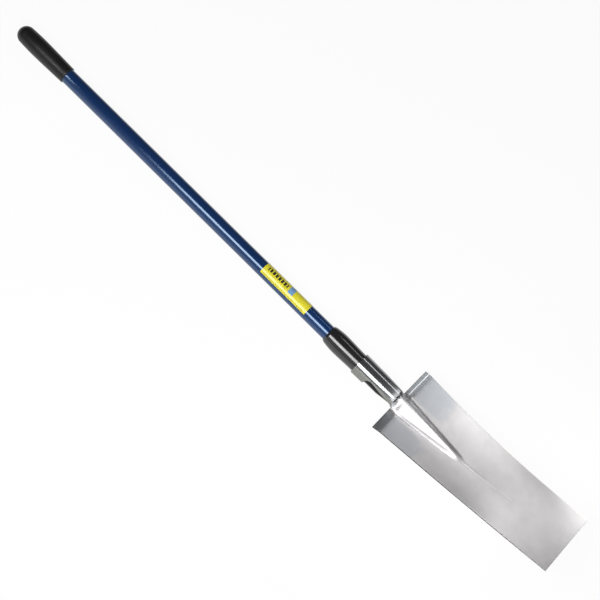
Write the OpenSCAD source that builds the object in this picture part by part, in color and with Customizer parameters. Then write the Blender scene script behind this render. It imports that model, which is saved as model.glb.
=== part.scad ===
// Trenching spade: one pressed steel head, with a long narrow blade, a roof-shaped rib and an
// open-backed socket, on a tube handle with an end grip.
// +X runs along the handle to the cutting edge, +Y to the right of the face, +Z out of the face.
// The tool lies on its back, on the rivets' heads and the grip, and the origin is on the floor under
// the middle of its length.
// Inside the functions x is counted from the treads and y and z from the handle's axis.

/* [Blade] */
// Length of the blade from the treads to the cutting edge, along the handle
blade_len = 396; // [320:1:460]
// Width across the treads
blade_top_w = 158; // [140:1:190]
// Width at the cutting edge
blade_tip_w = 132; // [110:0.5:150]
// Distance from the handle's axis forward to the blade's top corners
blade_front = 17.5; // [12:0.5:20]
// Distance from those corners forward to the cutting edge
tip_reach = 50; // [20:1:70]
// Depth of the hollow between the two side edges, at the treads
dish_depth = 18.5; // [10:0.5:22]
// Thickness of the steel sheet
sheet_t = 2.4; // [1.8:0.1:3]

/* [Treads] */
// Height of the bent-back band along the top edge
tread_h = 17.5; // [12:0.5:24]
// Distance that the band leans back at its top edge
tread_depth = 4; // [2:0.2:9]
// Width of the run-out where the band meets the rib
tread_blend = 8; // [4:0.5:12]

/* [Rib] */
// Width of the rib's foot under the treads
rib_base_w = 57; // [40:0.5:70]
// How much each side of the foot draws in towards the neck, across the treads
foot_draw = 8.5; // [2:0.5:10]
// Width of the rib's foot at its lower end
rib_tip_w = 18; // [10:0.5:26]
// Length of the rib below the treads
rib_len = 168; // [120:1:220]
// Distance of the rib's crest at the treads in front of the socket's front line, below 0 if behind it
rib_front = -1.3; // [-3:0.1:4]
// Height of the faint crease that runs on from the rib
crease_h = 0.9; // [0:0.1:1.2]
// Width of that crease
crease_w = 7; // [4:0.5:12]
// Length of the crease
crease_len = 150; // [60:1:200]

/* [Socket] */
// Height of the collar's top edge above the treads
socket_len = 99.5; // [85:0.5:120]
// Height of the rolled ears at the sides
ear_h = 29.5; // [24:0.5:36]
// How much lower the ears run where they leave the front wall
ear_fillet = 3; // [2:0.5:6]
// How much wider the collar is at its mouth than at the ears' lower edge
collar_flare = 0.5; // [0:0.1:1]
// Gap between the two ears at the back
ear_gap = 9; // [4:0.5:11]
// Distance from the treads up to the lower end of the socket's open back
neck_len = 6; // [5:0.5:12]
// Length from the open back's lower end over which the round neck turns into the rib's roof
blend_len = 14; // [8:0.5:26]
// How much the socket's sides draw in from the collar to the neck
neck_draw = 3.8; // [2:0.1:6]
// Distance from the ears down to the narrowest front wall
window_drop = 9; // [6:0.5:18]
// Half angle of the front wall there, from the face's normal
window_angle = 53; // [40:1:60]

/* [Handle] */
// Height of the grip's end above the treads
handle_reach = 1007.5; // [800:0.5:1300]
// Outer diameter of the tube
tube_d = 30.5; // [28:0.1:33]
// Wall of the tube
tube_wall = 1.5; // [1:0.1:3]
// Length of the wooden plug in the tube's lower end
plug_len = 150; // [110:1:240]

/* [Sleeve] */
// Length of the sleeve that shows above the collar
sleeve_show = 79; // [60:1:110]
// Wall of the sleeve inside the collar
sleeve_wall = 4.3; // [3.6:0.1:5.5]
// Wall of the sleeve at its upper rim
sleeve_rim_wall = 2.7; // [2:0.1:3.4]
// How far the sleeve's belly stands out past its seat in the collar
sleeve_belly = 1.3; // [0.5:0.1:2]
// How much thinner the toe is than the sleeve in the collar
toe_step = 1.5; // [0.5:0.1:2]
// Length of the solid toe below the tube's end
toe_solid = 27; // [20:0.5:32]
// Distance from the treads up to the toe
toe_clear = 9; // [8:0.5:18]

/* [Grip] */
// Length of the grip
grip_len = 131; // [100:0.5:180]
// Largest diameter of the grip
grip_d = 38; // [36:0.2:42]
// Diameter behind the domed end
grip_dome_d = 36; // [34.5:0.2:38]
// Diameter at the lower rim
grip_rim_d = 34.2; // [33.5:0.1:36]
// Distance from the end to the largest diameter
grip_swell = 55; // [40:0.5:70]
// Thickness of the closed end over the tube
grip_end_t = 9; // [5:0.5:14]

/* [Label] */
// Length of the label along the tube
label_len = 115; // [60:1:160]
// Width of the label round the tube
label_w = 42; // [20:0.5:60]
// Distance from the sleeve's rim up to the label
label_up = 57; // [20:1:120]
// Angle of the label's middle, from the face's normal
label_angle = 22; // [-60:1:60]

/* [Rivets] */
// Diameter of the rivets' shanks
rivet_d = 4.4; // [3:0.1:5.5]
// Diameter of the rivets' heads
rivet_head_d = 9; // [7:0.1:11]
// Height of the rivets' heads
rivet_head_h = 2.2; // [1.4:0.1:3]
// Length of the rivets' shanks
rivet_len = 15; // [12:0.5:17]
// Angle of the rivets round the collar, from the face's normal
rivet_angle = 156; // [140:1:158]

/* [Hidden] */
$fn = 96;

// Clearances between pieces, the label's film and an overrun for cuts
tube_gap = 0.1;
plug_gap = 0.1;
collar_gap = 0.3;
rivet_gap = 0.1;
head_gap = 0.05;
label_gap = 0.05;
label_t = 0.2;
over = 1;

// Small roundings of the sleeve and the grip
sleeve_edge = 1;
toe_edge = 3;
grip_edge = 1.6;

// Proportions of the pressed forms
taper_power = 2.3;
dish_power = 1.5;
rib_power = 1.8;
window_power = 1.25;
sag_power = 1.2;
press_power = 6;
round_power = 4;
lead_share = 0.13;
dish_from_share = 0.3;
bend_share = 0.75;
tread_start_share = 0.85;
crest_share = 0.2;
foot_share = 0.3;
belly_share = 0.37;

// Angles of the wall at the neck and where it leaves the ears, and of the ears' fillet
neck_angle = 86;
corner_angle = 11;
fillet_angle = 25;

// Radii of the fits, from the tube outwards
tube_r = tube_d / 2;
bore_r = tube_r + tube_gap;
sleeve_r = bore_r + sleeve_wall;
collar_in_r = sleeve_r + collar_gap;
collar_r = collar_in_r + sheet_t;
toe_r = sleeve_r - toe_step;
rivet_hole_r = rivet_d / 2 + rivet_gap;
rivet_seat_r = collar_r + collar_flare / 2;
rivet_ball_r = (pow(rivet_head_d / 2, 2) + pow(rivet_head_h, 2)) / (2 * rivet_head_h);
rivet_ball_at = rivet_seat_r + head_gap + rivet_head_h - rivet_ball_r;

// Places along the handle, from the treads
collar_top = -socket_len;
ear_side_x = collar_top + ear_h;
ear_front_x = ear_side_x + ear_fillet;
window_x = ear_front_x + window_drop;
neck_x = -neck_len;
toe_x = -toe_clear;
tube_end_x = toe_x - toe_solid;
sleeve_top = collar_top - sleeve_show;
label_end = sleeve_top - label_up;
grip_end = -handle_reach;
grip_rim = grip_end + grip_len;
tube_start = grip_end + grip_end_t;
rivet_x = collar_top + ear_h / 2;

// The rib's crest rises from the front line of the socket
rib_rise_top = collar_r + rib_front - blade_front + dish_depth;
ear_angle = 180 - asin(ear_gap / 2 / collar_r);
front_angle = window_angle + corner_angle;

// The floor lies under the rivets' heads or the ears, and the origin under the middle of the length
ear_drop = (collar_r + collar_flare) * cos(180 - ear_angle);
rivet_drop = rivet_ball_at * cos(180 - rivet_angle) + rivet_ball_r;
floor_drop = max(ear_drop, rivet_drop);
middle_x = (grip_end + blade_len) / 2;

// Counts of cells in the pressed sheet, and of steps along the turned profiles
side_cells = 8;
rib_cells = 20;
collar_cells = 4;
wall_cells = 9;
neck_cells = 5;
tread_cells = 5;
blade_cells = 32;
profile_steps = 18;

function mix(a, b, t) = a + (b - a) * t;
function ease(t) = let (c = max(0, min(1, t))) c * c * (3 - 2 * c);
function unit(v) = v / norm(v);

// Half width of the blade
function half_width(x) =
    mix(blade_tip_w, blade_top_w, pow(max(0, 1 - x / blade_len), taper_power)) / 2;

// Distance of the blade's side edges in front of the handle's axis
function edge_front(x) =
    let (t = x / blade_len)
    blade_front + tip_reach * mix(t * t, t, lead_share);

// Depth of the hollow, which runs out at the cutting edge
function dish(x) = dish_depth * (1 - ease((x / blade_len - dish_from_share) / (1 - dish_from_share)));

// Half width of the rib's foot, and height of its crest over the hollow
function rib_half(x) =
    mix(rib_base_w, rib_tip_w, min(1, x / rib_len)) / 2 - foot_draw * (1 - ease(x / tread_h));
function rib_rise(x) = rib_rise_top * max(0, 1 - pow(max(0, x / rib_len), rib_power));

// Height of the crease that carries on from the rib
function crease(x) = crease_h * (1 - ease((x - rib_len) / crease_len));

// Roof profile of the rib: a rounded crest, a straight flank and a hollow foot, for a from 0 to 1
function roof(a) =
    let (slope = 1 / (1 - (crest_share + foot_share) / 2))
    a < crest_share ? 1 - slope * a * a / (2 * crest_share)
    : a < 1 - foot_share ? 1 - slope * (a - crest_share / 2)
    : a < 1 ? slope * (1 - a) * (1 - a) / (2 * foot_share)
    : 0;

// Section of the rib: it comes round from the neck and turns into a roof
function rib_section(x, a) =
    mix(max(0, 1 - pow(a, round_power)), roof(a), ease((x - neck_x) / blend_len));

// Lean of the treads, with a crisp fold at their lower edge
function tread_lean(x) =
    let (t = max(0, 1 - x / tread_h))
    tread_depth * mix(t * t, t, bend_share);

// Front face of the blade
function face_z(x, y) =
    let (a = abs(y), r = rib_half(x))
    edge_front(x)
    - dish(x) * (1 - pow(a / half_width(x), dish_power))
    + max(rib_rise(x) * rib_section(x, a / r), crease(x) * roof(2 * a / crease_w))
    - tread_lean(x) * ease((a - r * tread_start_share) / tread_blend);

function face_normal(x, y) =
    let (h = sheet_t / 10)
    unit([
        face_z(x - h, y) - face_z(x + h, y),
        face_z(x, y - h) - face_z(x, y + h),
        2 * h
    ]);

// Socket wall: its front keeps the collar's curve, and its sides are pressed in towards the neck
function draw(x) = ease((x - window_x) / (neck_x - window_x));
function pressed_in(y) = y / pow(1 + pow(abs(y) / (collar_r - neck_draw), press_power), 1 / press_power);
function wall_side(x, angle) =
    let (y = collar_r * sin(angle))
    mix(y, pressed_in(y), draw(x));
function wall_normal(x, angle) =
    let (h = corner_angle / 10)
    unit([
        0,
        collar_r * (cos(angle - h) - cos(angle + h)),
        wall_side(x, angle + h) - wall_side(x, angle - h)
    ]);

// Half angle of the front wall along the open back
function wall_angle(x) =
    x < window_x
    ? window_angle + corner_angle * pow((window_x - x) / window_drop, 2)
    : mix(window_angle, neck_angle, pow(min(1, (x - window_x) / (neck_x - window_x)), window_power));

// Lower edge of the ears
function ear_low(angle) = mix(ear_front_x, ear_side_x, ease((angle - front_angle) / fillet_angle));

// Columns of the sheet: cross is the place across the rib, from -1 to 1, and beyond is the place
// from the rib's foot to the blade's edge, or from the front wall to the end of an ear
last_col = 2 * side_cells + rib_cells;
function cross_at(j) = max(-1, min(1, 2 * (j - side_cells) / rib_cells - 1));
function beyond_at(j) = max(0, side_cells - j, j - side_cells - rib_cells) / side_cells;

// Each vertex is [point on the outer face, outward normal]
function collar_vertex(t, j) =
    let (
        angle = cross_at(j) * mix(front_angle, ear_angle, beyond_at(j)),
        radial = [0, sin(angle), cos(angle)],
        x = mix(collar_top, ear_low(abs(angle)), t)
    )
    [[x, 0, 0] + (collar_r + collar_flare * (1 - t)) * radial, radial];

function blade_vertex(x, j) =
    let (
        y = cross_at(j) * mix(rib_half(x), half_width(x), beyond_at(j))
    )
    [[x, y, face_z(x, y)], face_normal(x, y)];

function wall_vertex(x, j) =
    let (
        angle = cross_at(j) * wall_angle(x),
        wall = [x, wall_side(x, angle), collar_r * cos(angle)],
        foot = blade_vertex(0, max(side_cells, min(side_cells + rib_cells, j))),
        t = ease(1 - x / neck_x)
    )
    [mix(wall, [x, foot[0].y, foot[0].z], t), unit(mix(wall_normal(x, angle), foot[1], t))];

// Rows of the sheet from the collar's top edge to the cutting edge
wall_xs = concat(
    [for (i = [1 : wall_cells]) mix(ear_front_x, neck_x, i / wall_cells)],
    [for (i = [1 : neck_cells - 1]) neck_x * (1 - i / neck_cells)]
);
blade_xs = concat(
    [for (i = [0 : tread_cells - 1]) tread_h * i / tread_cells],
    [for (i = [0 : blade_cells]) mix(tread_h, blade_len, i / blade_cells)]
);
rows = concat(
    [for (i = [0 : collar_cells]) [for (j = [0 : last_col]) collar_vertex(i / collar_cells, j)]],
    [for (x = wall_xs) [for (j = [0 : last_col]) wall_vertex(x, j)]],
    [for (x = blade_xs) [for (j = [0 : last_col]) blade_vertex(x, j)]]
);
first_blade_row = collar_cells + 1 + len(wall_xs);
last_row = len(rows) - 1;

// The collar and the blade use every column, and the wall between them only the rib's
function has_cell(i, j) =
    i >= 0 && i < last_row && j >= 0 && j < last_col
    && (i < collar_cells || i >= first_blade_row
        || (j >= side_cells && j < side_cells + rib_cells));

function corner(i, j, back) = 2 * (i * (last_col + 1) + j) + back;

// Two triangles on one face of a cell, mirrored about the middle of the sheet
function cell_faces(i, j, back) =
    let (
        a = corner(i, j, back),
        b = corner(i, j + 1, back),
        c = corner(i + 1, j + 1, back),
        d = corner(i + 1, j, back),
        pair = 2 * j < last_col ? [[a, b, c], [a, c, d]] : [[a, b, d], [b, c, d]]
    )
    back == 0 ? pair : [for (f = pair) [f[2], f[1], f[0]]];

// Cut edge of the sheet from one corner to the next
function edge_faces(i, j, k, l) =
    [
        [corner(k, l, 0), corner(i, j, 0), corner(i, j, 1)],
        [corner(k, l, 0), corner(i, j, 1), corner(k, l, 1)]
    ];

sheet_points = [for (row = rows) for (v = row) each [v[0], v[0] - sheet_t * v[1]]];
sheet_faces = [
    for (i = [0 : last_row - 1]) for (j = [0 : last_col - 1]) if (has_cell(i, j)) each concat(
        cell_faces(i, j, 0),
        cell_faces(i, j, 1),
        has_cell(i - 1, j) ? [] : edge_faces(i, j, i, j + 1),
        has_cell(i, j + 1) ? [] : edge_faces(i, j + 1, i + 1, j + 1),
        has_cell(i + 1, j) ? [] : edge_faces(i + 1, j + 1, i + 1, j),
        has_cell(i, j - 1) ? [] : edge_faces(i + 1, j, i, j)
    )
];

// Outer radius of the sleeve above the collar, for t from its rim to the collar
function sleeve_show_r(t) =
    let (rim_r = bore_r + sleeve_rim_wall, belly_r = sleeve_r + sleeve_belly)
    t < belly_share
    ? mix(rim_r, belly_r, sin(90 * t / belly_share))
    : mix(sleeve_r, belly_r, (1 + cos(180 * (t - belly_share) / (1 - belly_share))) / 2);

// Outer radius of the sleeve's toe, inside the drawn-in wall
function toe_side_r(x) = min(toe_r, wall_side(x, 90) - sheet_t - collar_gap);

// Outer radius of the grip, for e from its end
function grip_r(e) =
    e < grip_dome_d / 2
    ? sqrt(max(0, pow(grip_dome_d / 2, 2) - pow(grip_dome_d / 2 - e, 2)))
    : e < grip_swell
    ? mix(grip_d, grip_dome_d, pow((grip_swell - e) / (grip_swell - grip_dome_d / 2), 2)) / 2
    : mix(grip_d, grip_rim_d, pow((e - grip_swell) / (grip_len - grip_swell), sag_power)) / 2;

module placed() {
    translate([-middle_x, 0, floor_drop]) children();
}

// A profile of [radius, x] points turned about the handle's axis
module turned(profile) {
    rotate([0, 90, 0])
        rotate_extrude()
            polygon(profile);
}

// A child that points outwards along Z, set at each rivet's place on the collar
module at_rivets() {
    for (side = [-1, 1])
        translate([rivet_x, 0, 0])
            rotate([-side * rivet_angle, 0, 0])
                children();
}

module rivet_holes() {
    at_rivets() translate([0, 0, rivet_seat_r - rivet_len - over])
        cylinder(r = rivet_hole_r, h = rivet_len + 2 * over);
}

module blade_head() {
    color("gainsboro") placed() difference() {
        polyhedron(points = sheet_points, faces = sheet_faces, convexity = 10);
        rivet_holes();
    }
}

module handle_tube() {
    color("navy") placed() difference() {
        turned([
            [tube_r - tube_wall, tube_start],
            [tube_r, tube_start],
            [tube_r, tube_end_x],
            [tube_r - tube_wall, tube_end_x]
        ]);
        rivet_holes();
    }
}

module core_plug() {
    plug_r = tube_r - tube_wall - plug_gap;
    color("burlywood") placed() difference() {
        turned([
            [0, tube_end_x - plug_len],
            [plug_r, tube_end_x - plug_len],
            [plug_r, tube_end_x],
            [0, tube_end_x]
        ]);
        rivet_holes();
    }
}

module socket_sleeve() {
    rim_r = bore_r + sleeve_rim_wall;
    toe_start = ear_front_x;
    color("dimgray") placed() difference() {
        turned(concat(
            [[bore_r, sleeve_top], [rim_r - sleeve_edge, sleeve_top]],
            [for (i = [1 : profile_steps])
                let (t = i / profile_steps)
                [sleeve_show_r(t), mix(sleeve_top, collar_top, t)]],
            [[sleeve_r, ear_side_x]],
            [for (i = [0 : profile_steps])
                let (x = mix(toe_start, toe_x - toe_edge, i / profile_steps))
                [toe_side_r(x), x]],
            [[toe_side_r(toe_x) - toe_edge, toe_x], [0, toe_x]],
            [[0, tube_end_x + tube_gap], [bore_r, tube_end_x + tube_gap]]
        ));
        rivet_holes();
    }
}

module end_grip() {
    color("black") placed() turned(concat(
        [for (i = [0 : profile_steps])
            let (e = grip_dome_d / 2 * (1 - cos(90 * i / profile_steps)))
            [grip_r(e), grip_end + e]],
        [for (i = [1 : profile_steps])
            let (e = mix(grip_dome_d / 2, grip_len - grip_edge, i / profile_steps))
            [grip_r(e), grip_end + e]],
        [[grip_rim_d / 2 - grip_edge, grip_rim], [bore_r, grip_rim]],
        [[bore_r, tube_start - tube_gap], [0, tube_start - tube_gap]]
    ));
}

// Domed head on the ear, and a shank through the ear, the sleeve and the tube into the plug
module ear_rivets() {
    color("silver") placed() at_rivets() union() {
        translate([0, 0, rivet_seat_r - rivet_len])
            cylinder(d = rivet_d, h = rivet_len + head_gap + rivet_head_h / 2);
        translate([0, 0, rivet_seat_r + head_gap]) intersection() {
            translate([0, 0, rivet_head_h - rivet_ball_r]) sphere(r = rivet_ball_r);
            cylinder(d = rivet_head_d + over, h = rivet_head_h + over);
        }
    }
}

module label() {
    inner_r = tube_r + label_gap;
    span = label_w / inner_r * 180 / PI;
    color("yellow") placed()
        rotate([0, 90, 0])
            rotate([0, 0, 180 - label_angle - span / 2])
                rotate_extrude(angle = span)
                    translate([inner_r, label_end - label_len])
                        square([label_t, label_len]);
}

blade_head();
handle_tube();
core_plug();
socket_sleeve();
end_grip();
ear_rivets();
label();
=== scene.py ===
"""Looks of a trenching spade: pressed steel head, lacquered tube, moulded sleeve and grip."""
import math

import bpy
from mathutils import Matrix, Vector


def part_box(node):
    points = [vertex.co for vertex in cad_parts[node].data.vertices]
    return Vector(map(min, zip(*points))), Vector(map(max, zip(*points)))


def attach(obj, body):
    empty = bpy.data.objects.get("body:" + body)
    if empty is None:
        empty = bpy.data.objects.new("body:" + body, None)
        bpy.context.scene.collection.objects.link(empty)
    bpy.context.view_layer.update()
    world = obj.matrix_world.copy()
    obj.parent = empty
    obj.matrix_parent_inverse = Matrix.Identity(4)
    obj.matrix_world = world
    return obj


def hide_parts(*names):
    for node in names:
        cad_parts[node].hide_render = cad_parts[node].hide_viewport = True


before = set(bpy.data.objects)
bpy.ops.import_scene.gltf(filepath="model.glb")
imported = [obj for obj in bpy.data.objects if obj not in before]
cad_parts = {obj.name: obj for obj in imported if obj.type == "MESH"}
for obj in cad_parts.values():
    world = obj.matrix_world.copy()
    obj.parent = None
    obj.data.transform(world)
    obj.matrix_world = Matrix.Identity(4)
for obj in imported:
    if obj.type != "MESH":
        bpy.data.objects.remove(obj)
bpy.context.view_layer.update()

MM = 0.001

# Places along the tool and on its axis, from the frame, in metres. The treads' top edge lies a fixed
# way below the socket's mouth
MOUTH_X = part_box("blade_head")[0].x
TUBE_LOW, TUBE_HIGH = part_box("handle_tube")
LABEL_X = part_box("label")[0].x
AXIS_Z = (TUBE_LOW.z + TUBE_HIGH.z) / 2
TUBE_R = (TUBE_HIGH.z - TUBE_LOW.z) / 2
SOCKET_LEN = 99.5 * MM
TREADS_X = MOUTH_X + SOCKET_LEN

# Camera of the photograph: turned round the handle, leaning towards the tip, twisted in its frame
CAMERA_TURN = math.radians(25.954)
CAMERA_LEAN = math.radians(4.463)
CAMERA_TWIST = math.radians(44.595)
CAMERA_REACH = 2688.87 * MM
AIM_X = TREADS_X - 260.58 * MM
AIM_SIDE = 6.465 * MM
LENS = 86.19
SENSOR = 36

# How finely round pieces are turned, and how near points are merged
TURN_STEPS = 128
MERGE_GAP = 0.01 * MM

# Grey of the room, and how far the floor glows where it is seen
ROOM_LIGHT = 0.13
FLOOR_GLOW = 0.94


def linear(code):
    """Linear colour, with alpha, of an sRGB hex value such as "#c0c0c0"."""
    parts = [int(code[i:i + 2], 16) / 255 for i in (1, 3, 5)]
    return tuple(p / 12.92 if p <= 0.04045 else ((p + 0.055) / 1.055) ** 2.4 for p in parts) + (1.0,)


def add(tree, kind, inputs=None, **settings):
    """Adds a node with its settings. An input is a value, a socket, or a node whose output feeds it."""
    node = tree.nodes.new("ShaderNode" + kind)
    for name, value in settings.items():
        setattr(node, name, value)
    for name, value in (inputs or {}).items():
        if isinstance(value, bpy.types.Node):
            value = next(output for output in value.outputs if output.enabled)
        if isinstance(value, bpy.types.NodeSocket):
            tree.links.new(value, node.inputs[name])
        else:
            node.inputs[name].default_value = value
    return node


def start_material(name):
    """An empty material, its node tree and the Object coordinates of its piece."""
    material = bpy.data.materials.new(name)
    material.use_nodes = True
    material.node_tree.nodes.clear()
    place = add(material.node_tree, "TexCoord").outputs["Object"]
    return material, material.node_tree, place


def deselect():
    """Leaves nothing selected."""
    bpy.ops.object.select_all(action="DESELECT")


def activate(piece):
    """Makes a piece the only selected object, and the active one."""
    deselect()
    piece.select_set(True)
    bpy.context.view_layer.objects.active = piece


def modify(piece, kind, **settings):
    """Adds a modifier and applies it."""
    activate(piece)
    modifier = piece.modifiers.new(kind.title(), kind)
    for name, value in settings.items():
        setattr(modifier, name, value)
    bpy.ops.object.modifier_apply(modifier=modifier.name)


def smooth(piece, degrees=35):
    """Shades a piece smooth, apart from edges that are sharper than the angle."""
    activate(piece)
    bpy.ops.object.shade_smooth_by_angle(angle=math.radians(degrees))


def dress(piece, material, slot, *nodes):
    """Gives a finished piece its material, and lets it stand for its CAD nodes."""
    piece.data.materials.clear()
    piece.data.materials.append(material)
    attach(piece, "root")
    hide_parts(*nodes)


def copied(name, node):
    """A piece with the shape of a CAD node, its triangles merged and paired to quads."""
    deselect()
    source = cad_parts[node]
    piece = bpy.data.objects.new(name, source.data.copy())
    bpy.context.scene.collection.objects.link(piece)
    activate(piece)
    bpy.ops.object.mode_set(mode="EDIT")
    bpy.ops.mesh.select_all(action="SELECT")
    bpy.ops.mesh.remove_doubles(threshold=MERGE_GAP)
    bpy.ops.mesh.tris_convert_to_quads(face_threshold=math.radians(60), shape_threshold=math.radians(80))
    bpy.ops.object.mode_set(mode="OBJECT")
    bpy.ops.mesh.customdata_custom_splitnormals_clear()
    return piece


def turned(name, profile):
    """Turns a line of (place along the tool, radius) points about the handle's axis."""
    deselect()
    bpy.ops.mesh.primitive_plane_add(size=MM, location=(0, 0, 0))
    piece = bpy.context.object
    piece.name = name
    bpy.ops.object.mode_set(mode="EDIT")
    bpy.ops.mesh.merge(type="CENTER")
    bpy.ops.transform.translate(value=(profile[0][0], 0, AXIS_Z + profile[0][1]))
    for (x0, r0), (x1, r1) in zip(profile, profile[1:]):
        bpy.ops.mesh.extrude_vertices_move(TRANSFORM_OT_translate={"value": (x1 - x0, 0, r1 - r0)})
    bpy.ops.mesh.select_all(action="SELECT")
    bpy.ops.mesh.spin(steps=TURN_STEPS, angle=2 * math.pi, center=(0, 0, AXIS_Z), axis=(1, 0, 0))
    bpy.ops.mesh.select_all(action="SELECT")
    bpy.ops.mesh.remove_doubles(threshold=MERGE_GAP)
    bpy.ops.mesh.normals_make_consistent(inside=False)
    bpy.ops.object.mode_set(mode="OBJECT")
    return piece


def steel_material():
    """Pressed carbon steel: ground satin on the blade, smooth on the socket, dark at its sheared edges."""
    material, tree, place = start_material("ground_carbon_steel")
    at = add(tree, "SeparateXYZ", {"Vector": place})
    side = add(tree, "Math", {0: at.outputs["Y"]}, operation="ABSOLUTE")
    cloud = add(tree, "TexNoise", {
        "Vector": place, "Scale": 1 / (70 * MM), "Detail": 3.0, "Roughness": 0.6})
    patch = add(tree, "TexNoise", {"Vector": place, "Scale": 1 / (22 * MM), "Detail": 2.0})
    drawn = add(tree, "Mapping", {
        "Vector": place, "Scale": (1 / (50 * MM), 1 / (0.9 * MM), 1 / (0.9 * MM))})
    lines = add(tree, "TexNoise", {"Vector": drawn, "Scale": 1.0, "Detail": 2.0, "Roughness": 0.6})
    cloudy = add(tree, "MapRange", {"Value": cloud, "From Min": 0.3, "From Max": 0.7})
    patchy = add(tree, "MapRange", {"Value": patch, "From Min": 0.5, "From Max": 0.75, "To Max": 0.18})
    colour = add(tree, "Mix", {0: cloudy, 6: linear("#c2c0c1"), 7: linear("#cfcdcd")}, data_type="RGBA")
    colour = add(tree, "Mix", {0: patchy, 6: colour, 7: linear("#aeabaa")}, data_type="RGBA")

    # Bluish temper colour under the treads, beside the rib, with a cloudy lower border
    wander = add(tree, "MapRange", {
        "Value": cloud, "From Min": 0.3, "From Max": 0.7, "To Min": -45 * MM, "To Max": 45 * MM})
    down = add(tree, "Math", {0: at.outputs["X"], 1: wander}, operation="ADD")
    under = add(tree, "MapRange", {
        "Value": down, "From Min": TREADS_X + 45 * MM, "From Max": TREADS_X + 95 * MM,
        "To Min": 0.6, "To Max": 0.0}, interpolation_type="SMOOTHSTEP")
    beside = add(tree, "MapRange", {
        "Value": side, "From Min": 22 * MM, "From Max": 32 * MM}, interpolation_type="SMOOTHSTEP")
    temper = add(tree, "Math", {0: under, 1: beside}, operation="MULTIPLY")
    colour = add(tree, "Mix", {0: temper, 6: colour, 7: linear("#a6acb3")}, data_type="RGBA")

    # The socket is darker and smoother, with dull grey scale round the left of it
    above = add(tree, "MapRange", {
        "Value": at.outputs["X"], "From Min": TREADS_X - 6 * MM, "From Max": TREADS_X + 4 * MM,
        "To Min": 1.0, "To Max": 0.0}, interpolation_type="SMOOTHSTEP")
    height = add(tree, "Math", {0: at.outputs["Z"], 1: AXIS_Z}, operation="SUBTRACT")
    round_axis = add(tree, "Math", {0: side, 1: height}, operation="ARCTAN2")
    backward = add(tree, "MapRange", {
        "Value": round_axis, "From Min": math.radians(44), "From Max": math.radians(52)},
        interpolation_type="SMOOTHSTEP")
    left = add(tree, "Math", {0: at.outputs["Y"], 1: 0.0}, operation="LESS_THAN")
    scaled = add(tree, "Math", {0: backward, 1: left}, operation="MULTIPLY")
    scaled = add(tree, "Math", {0: scaled, 1: above}, operation="MULTIPLY")
    colour = add(tree, "Mix", {0: above, 6: colour, 7: linear("#8b8c8e")}, data_type="RGBA")
    colour = add(tree, "Mix", {0: scaled, 6: colour, 7: linear("#93938f")}, data_type="RGBA")
    rough = add(tree, "Mix", {0: above, 2: 0.36, 3: 0.15})
    rough = add(tree, "Mix", {0: scaled, 2: rough, 3: 0.5})
    uneven = add(tree, "MapRange", {
        "Value": lines, "From Min": 0.3, "From Max": 0.7, "To Min": -0.03, "To Max": 0.03})
    rough = add(tree, "Math", {0: rough, 1: uneven}, operation="ADD")

    # Painted shade: a dark line along the fold of the rib's roof, fainter on the left, and a darker, dull
    # band on the hollow foot beside it, on the left only
    lower = add(tree, "Math", {0: at.outputs["X"], 1: TREADS_X}, operation="SUBTRACT")
    outside = add(tree, "Math", {0: lower, 1: 0.126, 2: side}, operation="MULTIPLY_ADD")
    outside = add(tree, "Math", {0: outside, 1: 21.6 * MM}, operation="SUBTRACT")
    fold = add(tree, "Math", {0: outside}, operation="ABSOLUTE")
    line = add(tree, "MapRange", {
        "Value": fold, "From Min": 0.4 * MM, "From Max": 1.4 * MM, "To Min": 0.9, "To Max": 0.0},
        interpolation_type="SMOOTHSTEP")
    fainter = add(tree, "Mix", {0: left, 2: 1.0, 3: 0.55})
    line = add(tree, "Math", {0: line, 1: fainter}, operation="MULTIPLY")
    painted_foot_shade = add(tree, "MapRange", {
        "Value": outside, "From Min": 2.5 * MM, "From Max": 7.5 * MM, "To Min": 0.75, "To Max": 0.0},
        interpolation_type="SMOOTHSTEP")
    beyond = add(tree, "MapRange", {"Value": outside, "From Min": -1 * MM, "From Max": 1 * MM})
    painted_foot_shade = add(tree, "Math", {0: painted_foot_shade, 1: beyond}, operation="MULTIPLY")
    painted_foot_shade = add(tree, "Math", {0: painted_foot_shade, 1: left}, operation="MULTIPLY")
    below = add(tree, "MapRange", {
        "Value": lower, "From Min": 8 * MM, "From Max": 30 * MM}, interpolation_type="SMOOTHSTEP")
    ended = add(tree, "MapRange", {
        "Value": lower, "From Min": 120 * MM, "From Max": 150 * MM, "To Min": 1.0, "To Max": 0.0},
        interpolation_type="SMOOTHSTEP")
    along = add(tree, "Math", {0: below, 1: ended}, operation="MULTIPLY")
    line = add(tree, "Math", {0: line, 1: along}, operation="MULTIPLY")
    painted_foot_shade = add(tree, "Math", {0: painted_foot_shade, 1: along}, operation="MULTIPLY")
    # The painted shade of the foot band and of the crease line goes into the colour here
    colour = add(tree, "Mix", {0: painted_foot_shade, 6: colour, 7: linear("#8c8b8d")}, data_type="RGBA")
    rough = add(tree, "Mix", {0: painted_foot_shade, 2: rough, 3: 0.6})
    colour = add(tree, "Mix", {0: line, 6: colour, 7: linear("#555456")}, data_type="RGBA")
    rough = add(tree, "Mix", {0: line, 2: rough, 3: 0.6})
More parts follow.
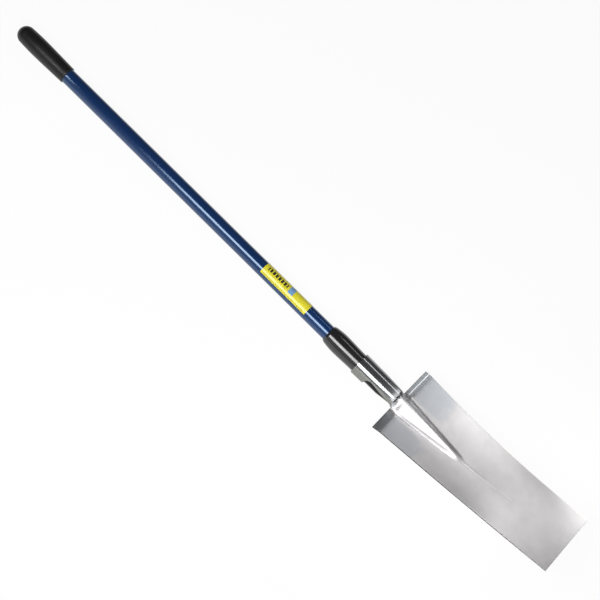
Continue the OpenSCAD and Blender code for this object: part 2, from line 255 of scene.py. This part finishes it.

    # Painted light on the right tread only: a pale non-metal band, and a painted white highlight along its
    # bend
    right = add(tree, "MapRange", {"Value": at.outputs["Y"], "From Min": 23 * MM, "From Max": 27 * MM})
    tread = add(tree, "MapRange", {
        "Value": lower, "From Min": 9 * MM, "From Max": 17 * MM, "To Min": 0.5, "To Max": 0.0},
        interpolation_type="SMOOTHSTEP")
    painted_bend_highlight = add(tree, "Math", {0: lower, 1: 8 * MM}, operation="SUBTRACT")
    painted_bend_highlight = add(tree, "Math", {0: painted_bend_highlight}, operation="ABSOLUTE")
    painted_bend_highlight = add(tree, "MapRange", {
        "Value": painted_bend_highlight, "From Min": 0.5 * MM, "From Max": 1.3 * MM, "To Min": 1.0, "To Max": 0.0})
    pale = add(tree, "Math", {0: tread, 1: painted_bend_highlight}, operation="MAXIMUM")
    pale = add(tree, "Math", {0: pale, 1: right}, operation="MULTIPLY")
    metal = add(tree, "Math", {0: 1.0, 1: pale}, operation="SUBTRACT")
    # Colours of the painted light: grey-blue band, and white for the painted highlight
    painted_tread_light = add(tree, "Mix", {0: painted_bend_highlight, 6: linear("#8f979c"), 7: linear("#eef0f1")}, data_type="RGBA")
    colour = add(tree, "Mix", {0: pale, 6: colour, 7: painted_tread_light}, data_type="RGBA")

    # Sheared edges of the sheet, darkened: partly their own colour, partly painted shade where they face
    # away from the light
    cut = add(tree, "Attribute", attribute_name="cut_edge").outputs["Fac"]
    colour = add(tree, "Mix", {0: cut, 6: colour, 7: linear("#2e2d2f")}, data_type="RGBA")
    depth = add(tree, "MapRange", {"Value": above, "To Min": 0.08, "To Max": 0.005})
    bump = add(tree, "Bump", {"Height": lines, "Strength": depth, "Distance": 0.05 * MM})
    shader = add(tree, "BsdfPrincipled", {
        "Base Color": colour, "Metallic": metal, "Roughness": rough, "Normal": bump})
    add(tree, "OutputMaterial", {"Surface": shader})
    return material


def lacquer_material():
    """Blue gloss lacquer: a deep even colour under a bluish, slightly rippled skin."""
    material, tree, place = start_material("blue_gloss_lacquer")
    ripple = add(tree, "TexNoise", {"Vector": place, "Scale": 1 / (3.5 * MM), "Detail": 1.0})
    cloud = add(tree, "TexNoise", {"Vector": place, "Scale": 1 / (120 * MM), "Detail": 2.0})
    colour = add(tree, "Mix", {0: cloud, 6: linear("#002150"), 7: linear("#00295b")}, data_type="RGBA")
    rough = add(tree, "MapRange", {
        "Value": cloud, "From Min": 0.3, "From Max": 0.7, "To Min": 0.13, "To Max": 0.19})
    bump = add(tree, "Bump", {"Height": ripple, "Strength": 0.02, "Distance": 0.02 * MM})
    shader = add(tree, "BsdfPrincipled", {
        "Base Color": colour, "Roughness": rough, "IOR": 1.56, "Specular IOR Level": 1.0,
        "Specular Tint": linear("#c9e4ff"), "Normal": bump})
    add(tree, "OutputMaterial", {"Surface": shader})
    return material


def moulded_material(name, rough_from, shine):
    """Black polypropylene from a fine-grained die: dark and softly shining, its reflection turned down
    inside the socket as painted shade.
    """
    material, tree, place = start_material(name)
    die = add(tree, "TexNoise", {"Vector": place, "Scale": 1 / (0.7 * MM), "Detail": 2.0})
    cloud = add(tree, "TexNoise", {"Vector": place, "Scale": 1 / (30 * MM), "Detail": 2.0})
    colour = add(tree, "Mix", {0: cloud, 6: linear("#0c0c0e"), 7: linear("#121215")}, data_type="RGBA")
    rough = add(tree, "MapRange", {
        "Value": cloud, "From Min": 0.3, "From Max": 0.7,
        "To Min": rough_from, "To Max": rough_from + 0.08})
    bump = add(tree, "Bump", {"Height": die, "Strength": 0.12, "Distance": 0.05 * MM})
    x = add(tree, "SeparateXYZ", {"Vector": place}).outputs["X"]
    # Painted shade: the reflection is turned down where the sleeve runs inside the socket
    shine_with_socket_shade = add(tree, "MapRange", {
        "Value": x, "From Min": MOUTH_X + 20 * MM, "From Max": MOUTH_X + 32 * MM,
        "To Min": shine, "To Max": 0.15})
    shader = add(tree, "BsdfPrincipled", {
        "Base Color": colour, "Roughness": rough, "IOR": 1.49, "Specular IOR Level": shine_with_socket_shade, "Normal": bump})
    add(tree, "OutputMaterial", {"Surface": shader})
    return material


def film_material():
    """Yellow vinyl film on the tube: half glossy, printed with plain bars, ticks and one pale block."""
    material, tree, place = start_material("yellow_vinyl_film")
    ripple = add(tree, "TexNoise", {"Vector": place, "Scale": 1 / (9 * MM), "Detail": 2.0})
    colour = add(tree, "Mix", {0: ripple, 6: linear("#d5ca1c"), 7: linear("#dfd632")}, data_type="RGBA")
    at = add(tree, "SeparateXYZ", {"Vector": place})
    height = add(tree, "Math", {0: at.outputs["Z"], 1: AXIS_Z}, operation="SUBTRACT")
    angle = add(tree, "Math", {0: at.outputs["Y"], 1: height}, operation="ARCTAN2")
    # Each print: its ink, its middle and half length along the film, its middle and half angle round the
    # tube, and the pitch and half share of its bars, or none
    for ink, middle, half_len, turn, half_turn, pitch, half_share in (
            ("#2a2a20", 33 * MM, 25 * MM, 8, 15, 7.1 * MM, 0.34),
            ("#6f9cc8", 69 * MM, 6 * MM, 12, 36, 20 * MM, 1.0),
            ("#8a7d22", 56 * MM, 52 * MM, -47, 3, 4 * MM, 0.2)):
        along = add(tree, "Math", {0: at.outputs["X"], 1: LABEL_X + middle}, operation="SUBTRACT")
        in_length = add(tree, "Math", {0: along, 1: 0.0, 2: half_len}, operation="COMPARE")
        in_turn = add(tree, "Math", {
            0: angle, 1: math.radians(turn), 2: math.radians(half_turn)}, operation="COMPARE")
        beat = add(tree, "Math", {0: along, 1: pitch}, operation="DIVIDE")
        beat = add(tree, "Math", {0: beat}, operation="FRACT")
        in_bar = add(tree, "Math", {0: beat, 1: 0.5, 2: half_share}, operation="COMPARE")
        printed = add(tree, "Math", {0: in_length, 1: in_turn}, operation="MULTIPLY")
        printed = add(tree, "Math", {0: printed, 1: in_bar}, operation="MULTIPLY")
        colour = add(tree, "Mix", {0: printed, 6: colour, 7: linear(ink)}, data_type="RGBA")
    bump = add(tree, "Bump", {"Height": ripple, "Strength": 0.1, "Distance": 0.1 * MM})
    shader = add(tree, "BsdfPrincipled", {
        "Base Color": colour, "Roughness": 0.3, "IOR": 1.5, "Specular IOR Level": 0.8, "Normal": bump})
    add(tree, "OutputMaterial", {"Surface": shader})
    return material


def zinc_material():
    """Zinc-plated steel: pale grey with soft mottling."""
    material, tree, place = start_material("zinc_plated_steel")
    mottle = add(tree, "TexNoise", {"Vector": place, "Scale": 1 / (2.5 * MM), "Detail": 2.0})
    colour = add(tree, "Mix", {0: mottle, 6: linear("#a9acb0"), 7: linear("#c3c5c8")}, data_type="RGBA")
    rough = add(tree, "MapRange", {
        "Value": mottle, "From Min": 0.3, "From Max": 0.7, "To Min": 0.28, "To Max": 0.4})
    shader = add(tree, "BsdfPrincipled", {"Base Color": colour, "Metallic": 1.0, "Roughness": rough})
    add(tree, "OutputMaterial", {"Surface": shader})
    return material


def ash_material():
    """Turned ash: pale wood with straight grain along the handle."""
    material, tree, place = start_material("turned_ash")
    drawn = add(tree, "Mapping", {
        "Vector": place, "Scale": (1 / (60 * MM), 1 / (1.6 * MM), 1 / (1.6 * MM))})
    fibre = add(tree, "TexNoise", {"Vector": drawn, "Scale": 1.0, "Detail": 3.0, "Roughness": 0.6})
    colour = add(tree, "Mix", {0: fibre, 6: linear("#c9a878"), 7: linear("#a9834f")}, data_type="RGBA")
    shader = add(tree, "BsdfPrincipled", {"Base Color": colour, "Roughness": 0.6})
    add(tree, "OutputMaterial", {"Surface": shader})
    return material


def make_head():
    """The pressed head: smooth faces, and cut edges with a small rounding."""
    piece = copied("pressed_head", "blade_head")
    # Faces across the thickness of the sheet: the blade's three sides, the treads' top and the collar's rim
    cut = piece.data.attributes.new("cut_edge", "FLOAT", "FACE")
    for face in piece.data.polygons:
        on_blade = face.center.x > TREADS_X + 0.1 * MM
        across = max(abs(face.normal.x), abs(face.normal.y)) if on_blade else abs(face.normal.x)
        cut.data[face.index].value = 1.0 if across > 0.9 else 0.0
    # The front of the neck is rounded, where the socket's line breaks into the rib's
    neck = piece.vertex_groups.new(name="neck")
    for vertex in piece.data.vertices:
        lower = vertex.co.x - TREADS_X
        turn = math.degrees(math.atan2(abs(vertex.co.y), vertex.co.z - AXIS_Z))
        shares = ((lower + 14 * MM) / (8 * MM), (12 * MM - lower) / (8 * MM), (75 - turn) / 20, 1)
        if min(shares) > 0:
            neck.add([vertex.index], min(shares), "REPLACE")
    modify(piece, "SMOOTH", factor=0.5, iterations=5, vertex_group="neck")
    modify(piece, "BEVEL", width=0.35 * MM, segments=2, limit_method="ANGLE", angle_limit=math.radians(50))
    modify(piece, "SUBSURF", levels=2, render_levels=2)
    smooth(piece, 60)
    dress(piece, steel_material(), "steel", "blade_head")


def make_tube():
    """The tube's outside, closed at both ends, which lie inside the sleeve and the grip."""
    piece = turned("lacquered_tube", [
        (TUBE_LOW.x, 0), (TUBE_LOW.x, TUBE_R), (TUBE_HIGH.x, TUBE_R), (TUBE_HIGH.x, 0)])
    smooth(piece)
    dress(piece, lacquer_material(), "blue_tube", "handle_tube")


def make_copies():
    """Sleeve, grip, label, rivets and plug keep the forms of their solids."""
    sleeve_black = moulded_material("black_moulding_sleeve", 0.13, 1.0)
    grip_black = moulded_material("black_moulding_grip", 0.36, 0.5)
    for name, node, material, slot in (
            ("moulded_sleeve", "socket_sleeve", sleeve_black, "black_sleeve"),
            ("moulded_grip", "end_grip", grip_black, "black_grip"),
            ("tube_film", "label", film_material(), "yellow_film"),
            ("ear_rivet_pair", "ear_rivets", zinc_material(), "rivet_steel"),
            ("wooden_plug", "core_plug", ash_material(), "plug_wood")):
        piece = copied(name, node)
        smooth(piece)
        dress(piece, material, slot, node)


def make_camera():
    """The photograph's camera: its axes from the three angles, its place from the point that it aims at."""
    turn, lean, twist = CAMERA_TURN, CAMERA_LEAN, CAMERA_TWIST
    across = Vector((0, math.cos(turn), math.sin(turn)))
    along = Vector((math.cos(lean), math.sin(turn) * math.sin(lean), -math.cos(turn) * math.sin(lean)))
    back = Vector((math.sin(lean), -math.sin(turn) * math.cos(lean), math.cos(turn) * math.cos(lean)))
    right = math.cos(twist) * along + math.sin(twist) * across
    up = math.cos(twist) * across - math.sin(twist) * along
    place = Vector((AIM_X, 0, AXIS_Z)) + AIM_SIDE * across + CAMERA_REACH * back
    data = bpy.data.cameras.new("photo_camera")
    data.lens = LENS
    data.sensor_width = SENSOR
    camera = bpy.data.objects.new("photo_camera", data)
    bpy.context.scene.collection.objects.link(camera)
    camera.matrix_world = Matrix.Translation(place) @ Matrix((right, up, back)).transposed().to_4x4()
    bpy.context.scene.camera = camera


def soft_box(name, turn, spread, reach, x_from, x_to, radiance):
    """A flat lamp along the tool, turned round the handle from straight above, as wide as its spread."""
    back = Vector((0, math.sin(turn), math.cos(turn)))
    along = Vector((1, 0, 0))
    data = bpy.data.lights.new(name, "AREA")
    data.shape = "RECTANGLE"
    data.size = x_to - x_from
    data.size_y = 2 * reach * math.tan(spread / 2)
    data.energy = radiance * math.pi * data.size * data.size_y
    lamp = bpy.data.objects.new(name, data)
    bpy.context.scene.collection.objects.link(lamp)
    place = Vector(((x_from + x_to) / 2, 0, AXIS_Z)) + reach * back
    turned_to = Matrix((along, back.cross(along), back)).transposed().to_4x4()
    lamp.matrix_world = Matrix.Translation(place) @ turned_to
    lamp.visible_camera = False


def make_studio():
    """White floor, grey room and soft boxes along the tool."""
    deselect()
    bpy.ops.mesh.primitive_plane_add(size=80, location=(0, 0, 0))
    floor = bpy.context.object
    floor.name = "floor"
    material, tree, _ = start_material("white_floor")
    path = add(tree, "LightPath")
    seen = add(tree, "Math", {
        0: path.outputs["Is Camera Ray"], 1: path.outputs["Is Glossy Ray"]}, operation="MAXIMUM")
    seen = add(tree, "Math", {0: seen, 1: path.outputs["Is Transmission Ray"]}, operation="MAXIMUM")
    share = add(tree, "Math", {0: seen, 1: FLOOR_GLOW}, operation="MULTIPLY")
    paper = add(tree, "BsdfDiffuse", {"Color": linear("#f0f0f0")})
    glow = add(tree, "Emission", {"Color": linear("#ffffff"), "Strength": 1.0})
    shader = add(tree, "MixShader", {0: share, 1: paper, 2: glow})
    add(tree, "OutputMaterial", {"Surface": shader})
    floor.data.materials.append(material)
    world = bpy.data.worlds.new("grey_room")
    world.use_nodes = True
    background = world.node_tree.nodes["Background"]
    background.inputs["Color"].default_value = linear("#ffffff")
    background.inputs["Strength"].default_value = ROOM_LIGHT
    bpy.context.scene.world = world
    # Each lamp: its turn and spread in degrees, its reach from the handle and its two ends along the tool
    # in metres, and its radiance
    for name, turn, spread, reach, x_from, x_to, radiance in (
            ("left_soft_box", -38, 25, 1.2, -0.53, 0.45, 8.2),
            ("left_wall", -72, 30, 3.2, -2.0, 2.0, 0.4),
            ("rib_card", -52, 66, 0.3, 0.318, 0.58, 2.3),
            ("right_strip", 38, 4, 2.0, -0.05, 1.2, 4.5),
            ("grip_card", -40, 16, 0.3, -0.70, -0.648, 9.0),
            ("left_card", 5, 46, 0.6, 0.32, 0.44, 2.15),
            ("right_card", 52, 48, 0.6, 0.31, 0.375, 2.15),
            ("tip_card", 50, 46, 0.3, 0.58, 0.8, 1.75)):
        soft_box(name, math.radians(turn), math.radians(spread), reach, x_from, x_to, radiance)


make_camera()
make_studio()
make_head()
make_tube()
make_copies()
bpy.context.scene.view_settings.view_transform = "Standard"
